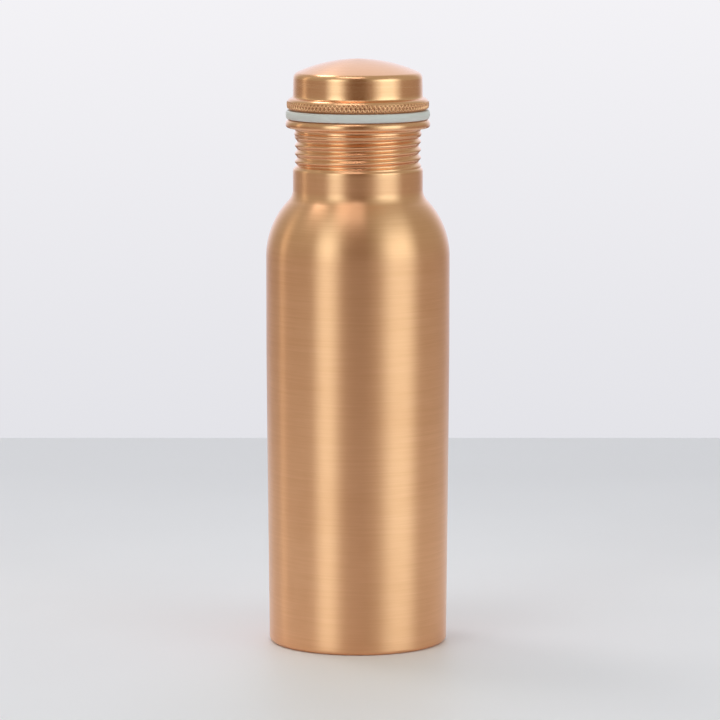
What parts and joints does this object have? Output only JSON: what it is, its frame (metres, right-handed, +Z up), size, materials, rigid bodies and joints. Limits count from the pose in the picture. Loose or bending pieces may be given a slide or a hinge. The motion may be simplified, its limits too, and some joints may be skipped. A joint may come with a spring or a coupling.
{
  "type": "copper water bottle",
  "caption": "Slender round copper water bottle with a rolled thread on its neck and a domed screw cap on a pale gasket.",
  "frame": {"origin": "centre of the foot, on the plane that the bottle stands on", "axes": "+Z up along the bottle's axis, from the foot to the cap; +X to the right and -Y towards the viewer"},
  "size_m": [0.073, 0.073, 0.2333],
  "materials": {
    "body_copper": "satin, brushed round the axis, copper",
    "cap_copper": "satin, brushed round the axis, copper",
    "plug_copper": "satin copper",
    "gasket_silicone": "matt pale grey silicone"
  },
  "bodies": {
    "bottle": {"body_shell": "body_copper"},
    "seal": {"gasket": "gasket_silicone"},
    "cap": {"cap_dome": "cap_copper", "cap_plug": "plug_copper"}
  },
  "joints": [
    {"name": "cap_lift", "type": "slide", "parent": "bottle", "child": "seal", "axis": [0, 0, 1], "range_m": [0, 0.0288]},
    {"name": "cap_turn", "type": "hinge", "parent": "seal", "child": "cap", "pos_m": [0, 0, 0.213], "axis": [0, 0, 1], "range_deg": [0, 3240]}
  ],
  "couplings": [
    {"joint": "cap_lift", "follows": "cap_turn", "m_per_rad": 0.0005093}
  ]
}
